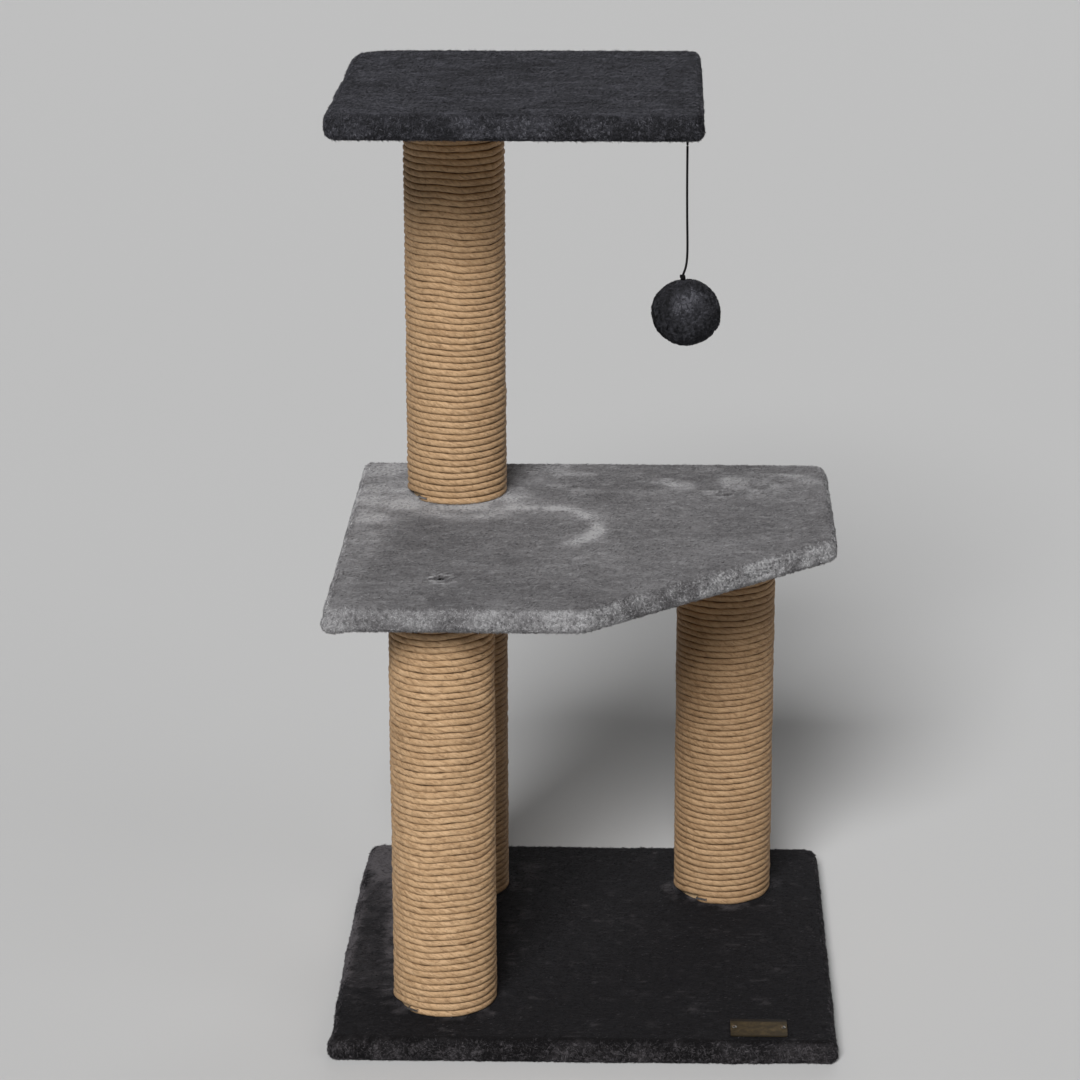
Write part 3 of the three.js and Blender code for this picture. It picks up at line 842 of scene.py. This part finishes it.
def post_places(names):
    """(x, y) of the named posts."""
    boxes = [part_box(f"{name}_rope") for name in names]
    return [((low.x + high.x) / 2, (low.y + high.y) / 2) for low, high in boxes]


def past_box(points, low, high):
    """How far each point lies outside a box seen from above; less than 0 inside it."""
    return np.maximum(np.abs(points[:, 0] - (low.x + high.x) / 2) - (high.x - low.x) / 2,
                      np.abs(points[:, 1] - (low.y + high.y) / 2) - (high.y - low.y) / 2)


def clear_of(points, rounds, badge):
    """1 where fibres may stand: off the posts' feet, the bolts and the badge."""
    kept = np.ones(len(points))
    for x, y, radius in rounds:
        kept *= away_from(points, x, y) > radius
    if badge is not None:
        kept *= past_box(points, *badge) > 0.3 * MM
    return kept


def corners_of(name, radii):
    """The corners of a rectangular cover, anticlockwise from its front left."""
    low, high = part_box(f"{name}_cover")
    places = [(low.x, low.y), (high.x, low.y), (high.x, high.y), (low.x, high.y)]
    return [(x, y, radius) for (x, y), radius in zip(places, radii)]


def middle_corners():
    """A rectangle with its front right corner cut off."""
    left_front, _, right_back, left_back = corners_of("middle", [CORNER] * 3 + [TIGHT_CORNER])
    cut = [(CUT_FRONT_X, left_front[1], CORNER), (right_back[0], CUT_RIGHT_Y, CORNER)]
    return [left_front, *cut, right_back, left_back]


def band(values, centre, half_width):
    return np.exp(-((values - centre) / half_width) ** 2)


def base_lift(points, normals):
    """Lighter nap on the base's left and round the posts, painted light on its edges and a painted
    shadow behind the badge.
    """
    x, y = points[:, 0], points[:, 1]
    left = smooth((-0.120 - x) / 0.04) * smooth((y + 0.15) / 0.07)
    cloudy = 1.4 * noise(points * [1, 0.6, 1], 20 * MM, 71) + 0.30 * noise(points, 5 * MM, 79)
    left *= 0.25 + 0.95 * smooth(cloudy + 0.35)
    wisps = smooth(noise(points * [1, 0.55, 1], 34 * MM, 72) * 2.2 - 0.5)
    wisps *= smooth((y + 0.14) / 0.05)
    wisps *= smooth((-0.02 - x) / 0.1) + smooth((y - 0.08) / 0.08)
    flecks = 0.30 * smooth(noise(points * [0.6, 1.6, 1], 6 * MM, 74) * 4 - 1.9)
    feet = sum(disc(points, fx, fy, 44 * MM, 14 * MM) for fx, fy in lower_feet)
    feet *= 0.22 + 0.4 * noise(points, 9 * MM, 76)
    low, high = badge_box
    # Painted shadow on the cloth just behind the badge.
    badge_shadow = band(y, high.y + 5.5 * MM, 1.8 * MM) * smooth((21 * MM - np.abs(x - 0.139)) / MM)
    # Painted light: the cloth lighter on its sides and underside than on its top.
    side = (0.52 + 0.3 * noise(points, 22 * MM, 75)) * facing_out(normals)
    mottle = 0.12 * noise(points, 12 * MM, 77) + 0.10 * noise(points, 4.5 * MM, 78)
    return left + 0.30 * wisps + feet + flecks + mottle - 0.8 * badge_shadow + side - 0.13


def middle_lift(points, normals):
    """Light strokes: the left side, round the post, a curl and a far patch; painted light on the edges
    and the cut, and painted shade in the bolt openings.
    """
    x, y = points[:, 0], points[:, 1]
    cloudy = 0.8 + 0.5 * noise(points, 12 * MM, 80) + 0.4 * noise(points, 30 * MM, 81)
    left = 0.62 * smooth((-0.145 - x + 0.10 * (y - 0.05)) / 0.025)
    left *= 0.35 + 0.65 * smooth((y + 0.06) / 0.12)
    halo = 0.65 * disc(points, -0.108, 0.088, 0.046, 0.022) * smooth((0.14 - y) / 0.03)
    reach = away_from(points, -0.045, 0.014)
    turn = np.arctan2(y - 0.014, x + 0.045)
    curl = 0.95 * band(reach, 0.053, 0.009) * smooth((turn + 1.3) / 0.4) * smooth((2.0 - turn) / 0.4)
    far = 0.55 * smooth((y - 0.075) / 0.07) * smooth((x + 0.06) / 0.05)
    far *= smooth(noise(points * [0.8, 1, 1], 17 * MM, 82) * 2.2 + 0.15)
    flecks = 0.22 * smooth(noise(points * [0.7, 1.2, 1], 5 * MM, 85) * 4 - 2.0)
    patches = 0.14 * noise(points, 38 * MM, 83) + 0.10 * noise(points * [0.7, 1, 1], 8 * MM, 84)
    # Painted light on the sides and underside, more on the cut face.
    on_cut = smooth(np.minimum(normals[:, 0], -normals[:, 1]) / 0.2)
    side = 0.66 + 0.35 * noise(points, 26 * MM, 86) + on_cut * (0.16 + 0.6 * noise(points, 9 * MM, 88))
    side *= facing_out(normals)
    lifted = (left + halo + curl + far) * cloudy + flecks + patches + side
    for bx, by, opening in middle_bolts:
        # Painted shade in each bolt's opening, with a lighter ring of cloth round it.
        ring = band(np.hypot(x - bx, (y - by) * 0.8), opening + 5 * MM, 4 * MM)
        opening_shade = disc(points, bx, by, opening, 3 * MM)
        lifted += (0.15 + 0.9 * noise(points, 3 * MM, 87)) * ring - 0.35 * opening_shade
    return lifted


def top_lift(points, normals):
    """The top platform is even, with faint streaks, and painted light on its edge with painted shade
    in its hollows.
    """
    streaks = 0.22 * noise(points * [0.6, 1, 1], 9 * MM, 91) + 0.16 * noise(points, 34 * MM, 92)
    flecks = 0.35 * smooth(noise(points * [0.5, 1.6, 1], 5 * MM, 93) * 4 - 2.0)
    # Painted light and shade on the edge: lighter on the whole, darker in its hollows.
    side = 0.20 + 0.4 * noise(points, 20 * MM, 94)
    return streaks + flecks + side * smooth((0.9 - normals[:, 2]) / 0.4)


def base_slack(points, normals):
    """The base's cloth bulges a little at its left, and in front."""
    x, y = points[:, 0], points[:, 1]
    left = 3.2 * smooth((-0.19 - x) / 0.008) * (1 - (y / 0.2) ** 2)
    front = smooth((-0.19 - y) / 0.008) * (4.0 - 2.2 * smooth((x + 0.2) / 0.4))
    foot = droop(points, normals, OUTLINES["base"]) * smooth((-0.17 - y) / 0.02)
    foot *= 2.8 - 1.4 * smooth((x - 0.12) / 0.06)
    return np.maximum(left, front) * (1 - np.abs(normals[:, 2])) + foot


def middle_slack(points, normals):
    """The cloth sags under the middle platform's edges, with an ear at the front left corner."""
    away = away_from(points, -0.196, -0.196)
    below = smooth((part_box("middle_cover")[0].z + 11 * MM - points[:, 2]) / (8 * MM))
    ear = 2.6 * np.exp(-(away / (10 * MM)) ** 2) * below
    tight = 1.2 * smooth((-0.19 - points[:, 0]) / 0.008) * (1 - np.abs(normals[:, 2]))
    return 2.0 * droop(points, normals, OUTLINES["middle"]) + ear - tight


def top_slack(points, normals):
    """The top platform's cloth is full, with two shallow scallops on its left edge."""
    x, y = points[:, 0], points[:, 1]
    level = 1 - np.abs(normals[:, 2])
    span = np.where(y > 70 * MM, 160 * MM, 86 * MM)
    scallop = np.abs(np.sin(pi * (y - 70 * MM) / span))
    left = (3.4 * scallop - 1.2) * smooth((-0.185 - x) / 0.012) * level
    right = 1.2 * smooth((x - 0.078) / 0.008) * level
    full = 1.5 * smooth((normals[:, 2] - 0.2) / 0.6)
    return 2.0 * droop(points, normals, OUTLINES["top"]) + left - right + full


lower_feet, upper_foot = post_places(POSTS[:3]), post_places(POSTS[3:])
middle_bolts = [(*foot, opening) for foot, opening in zip(lower_feet[::2], BOLT_OPENINGS)]
badge_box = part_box("badge_plate")
OUTLINES = {
    "base": corners_of("base", [TIGHT_CORNER] * 2 + [CORNER] * 2),
    "middle": middle_corners(),
    "top": corners_of("top", [CORNER] * 3 + [SOFT_CORNER]),
}


def add_platform(name, cloth, fibres, slot_name, seed, lift, slack, nap, locks,
                 feet=(), bolts=(), badge=None, sag=4 * MM):
    """A platform's cover with the pile on its top, and the fur and underfur on its edges."""
    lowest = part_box(f"{name}_cover")[0].z + 0.1 * MM - sag
    cover, flat, area = add_cover(name, cloth, seed, lift, slack, feet, bolts, lowest)
    rounds = [(*foot, FOOT_RADIUS) for foot in feet] + list(bolts)

    def on_top(points, normals):
        return clear_of(points, rounds, badge) * smooth((normals[:, 2] - 0.6) / 0.3)

    def on_edge(points, normals):
        beside = smooth((0.97 - normals[:, 2]) / 0.2) * smooth((normals[:, 2] + 0.98) / 0.25)
        return clear_of(points, rounds, badge) * beside

    layers = [
        dict(name="pile", style=LYING, weigh=on_top, nap=nap, raise_near=rounds, rim=badge,
             locks=0.15, lint=LINT),
        dict(name="edge_pile", style=FLUFFED, weigh=on_edge, nap=EDGE_NAP, locks=locks, lint=LINT),
        dict(name="underfur", style=UNDERFUR, weigh=on_edge, nap=EDGE_NAP, locks=locks / 2),
    ]
    pile = [add_pile(f"{name}_{layer.pop('name')}", cover, materials=fibres, body="tree",
                     slot_name=slot_name, seed=seed + 100 * number, lift=lift, lowest=lowest, **layer)
            for number, layer in enumerate(layers, start=1)]
    thicken(cover)


add_platform("base", base_plush, base_fibres, "dark_plush", seed=21, lift=base_lift,
             slack=base_slack, nap=(0.9, -0.3, 0), locks=0.85, feet=lower_feet, badge=badge_box,
             sag=0)
add_platform("middle", grey_plush, grey_fibres, "grey_plush", seed=41, lift=middle_lift,
             slack=middle_slack, nap=(0.9, -0.2, 0), locks=0.35, feet=upper_foot,
             bolts=middle_bolts)
add_platform("top", dark_plush, dark_fibres, "dark_plush", seed=61, lift=top_lift,
             slack=top_slack, nap=(1.0, -0.1, 0), locks=0.85)


# ---- Pompom --------------------------

# Which way its flatter and its fuller side face, and its lighter patches: where from its centre
# and how wide, in millimetres, and how light.
BALL_FLAT, BALL_FULL = np.array([[-0.68, 0, -0.73], [0.80, 0, -0.60]])
BALL_PATCHES = [((-3.5, -23, 12.0), 7.5, 1.0), ((5.5, -20, 17.5), 7.5, 1.0), ((6, -26, 2), 9, 0.4)]


def add_pompom():
    """A soft round ball, a little flat and uneven, covered in short fur."""
    low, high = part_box("pompom")
    centre = np.array((low + high) / 2)
    size = np.array((high - low) / 2) - 0.9 * MM
    steps, around = 60, 90
    down = np.linspace(0, pi, steps + 1)[1:-1]
    turn = np.linspace(0, 2 * pi, around, endpoint=False)
    ways = np.stack([np.sin(down)[:, None] * np.cos(turn), np.sin(down)[:, None] * np.sin(turn),
                     np.repeat(np.cos(down)[:, None], around, axis=1)], axis=2).reshape(-1, 3)
    ways = np.concatenate([ways, [[0, 0, 1], [0, 0, -1]]])
    lumps = noise(ways, 0.9, 7) * 0.7 + noise(ways, 0.35, 8) * 0.4 + noise(ways, 0.12, 9) * 0.25
    points = ways * (size + (lumps * MM)[:, None])
    points -= np.maximum(points @ BALL_FLAT - 24.5 * MM, 0)[:, None] * BALL_FLAT * 0.8
    points += smooth((ways @ BALL_FULL - 0.8) / 0.2)[:, None] * BALL_FULL * 0.8 * MM
    points += centre
    top = len(down) * around
    index = np.arange(top).reshape(-1, around)
    turned = np.roll(index, -1, axis=1)
    faces = [*np.stack([index[:-1], index[1:], turned[1:], turned[:-1]], axis=2).reshape(-1, 4)]
    faces += [(top, a, b) for a, b in zip(index[0], turned[0])]
    faces += [(top + 1, b, a) for a, b in zip(index[-1], turned[-1])]
    ball = make_piece("pompom_ball", points, faces, [dark_plush], "ball")
    store(ball, "lift", 0.08 * noise(ways, 0.4, 12) - 0.15)
    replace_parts(ball, "pompom")

    def tone(points, normals):
        own = (points - centre) / MM
        patch = sum(share * band(np.linalg.norm(own - place, axis=1), 0, size)
                    for place, size, share in BALL_PATCHES)
        left = smooth((-6 - own[:, 0]) / 12)
        return 0.35 * noise(points, 11 * MM, 13) + 1.3 * patch - 0.45 * left - 0.22

    add_pile("pompom_fur", ball, POMPOM_FUR, dark_fibres, "ball", "pompom_fur", seed=301,
             weigh=lambda points, normals: 1, nap=(0.2, 0, -0.5), lift=tone,
             count=POMPOM_FIBRES, locks=0.12)


add_pompom()


# ---- Finishes of the CAD pieces ------

def finish_nodes():
    """Gives every CAD node that still shows, or lies inside, its own material."""
    finishes = [
        ("_board", chipboard_material()),
        ("_plug", plain_material(
            "turned_pine", {"Roughness": 0.6}, (60, 900, 60),
            (0.56, 0.38, 0.20), (0.72, 0.54, 0.33), depth=0.08, distortion=1.2)),
        ("_tube", plain_material(
            "spiral_wound_card", {"Roughness": 0.85}, (500, 500, 1400),
            (0.30, 0.20, 0.11), (0.44, 0.31, 0.18), depth=0.1, detail=4)),
        ("_rivet", plain_material(
            "polished_nickel", {"Metallic": 1.0}, [1500] * 3,
            (0.30, 0.29, 0.27), (0.42, 0.41, 0.39), gloss=(0.1, 0.3), detail=2)),
        ("badge_plate", bronze_material()),
        ("_bolt", plain_material(
            "black_zinc", {"Metallic": 0.8}, [700] * 3, (0.012, 0.012, 0.014), (0.16, 0.16, 0.17),
            depth=0.03, spread=(-0.5, 0.6), gloss=(0.35, 0.6), detail=4, rough=0.7)),
        ("", plain_material(
            "zinc_plate", {"Metallic": 1.0}, [900] * 3, (0.34, 0.34, 0.35), (0.56, 0.57, 0.60),
            depth=0.03, gloss=(0.25, 0.55), detail=4)),
    ]
    for name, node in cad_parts.items():
        if node.hide_render:
            continue
        chosen = next(material for ending, material in finishes if name.endswith(ending))
        node.data.materials.clear()
        node.data.materials.append(chosen)


finish_nodes()


# ---- Stage ---------------------------

def add_floor():
    """A pale floor, and round it a pale backdrop that leaves the tree's light alone."""
    turn = np.linspace(0, 2 * pi, STAGE_SIDES, endpoint=False)
    rim = np.stack([STAGE_RADIUS * np.cos(turn), STAGE_RADIUS * np.sin(turn), 0 * turn], axis=1)
    index = np.arange(STAGE_SIDES)
    after = np.roll(index, -1)
    wall = np.stack([index, after, after + STAGE_SIDES, index + STAGE_SIDES], axis=1)
    pale = Shader("pale_floor", {"Roughness": 0.9, "Base Color": (*[FLOOR_TONE] * 3, 1)})
    glow = Shader("pale_backdrop", {
        "Roughness": 1.0, "Base Color": (0, 0, 0, 1), "Specular IOR Level": 0,
        "Emission Color": (*[BACKDROP_TONE] * 3, 1), "Emission Strength": 1})
    parts = [("floor", rim, [list(index)], pale),
             ("backdrop", np.concatenate([rim, rim + [0, 0, STAGE_RADIUS]]), wall, glow)]
    for name, points, faces, look in parts:
        piece = new_mesh(name, points, faces, [look.material])
    piece.visible_shadow = piece.visible_diffuse = False


def add_light(name, azimuth, elevation, strength, spread):
    """A broad soft light. azimuth 0 is in front, and positive is to the right."""
    data = bpy.data.lights.new(name, "SUN")
    data.energy = strength
    data.angle = radians(spread)
    light = new_object(name, data)
    light.rotation_euler = (pi / 2 - radians(elevation), 0, radians(azimuth))
    light.location = (0, 0, 3)


def add_studio():
    """Soft lights, and very little light from all round."""
    world = bpy.data.worlds.new("studio")
    bpy.context.scene.world = world
    world.use_nodes = True
    surface = world.node_tree.nodes["Background"].inputs
    surface["Color"].default_value = (1, 1, 1, 1)
    surface["Strength"].default_value = WORLD_STRENGTH
    for light in LIGHTS:
        add_light(*light)
    bpy.context.scene.view_settings.view_transform = "Standard"


add_floor()
add_studio()
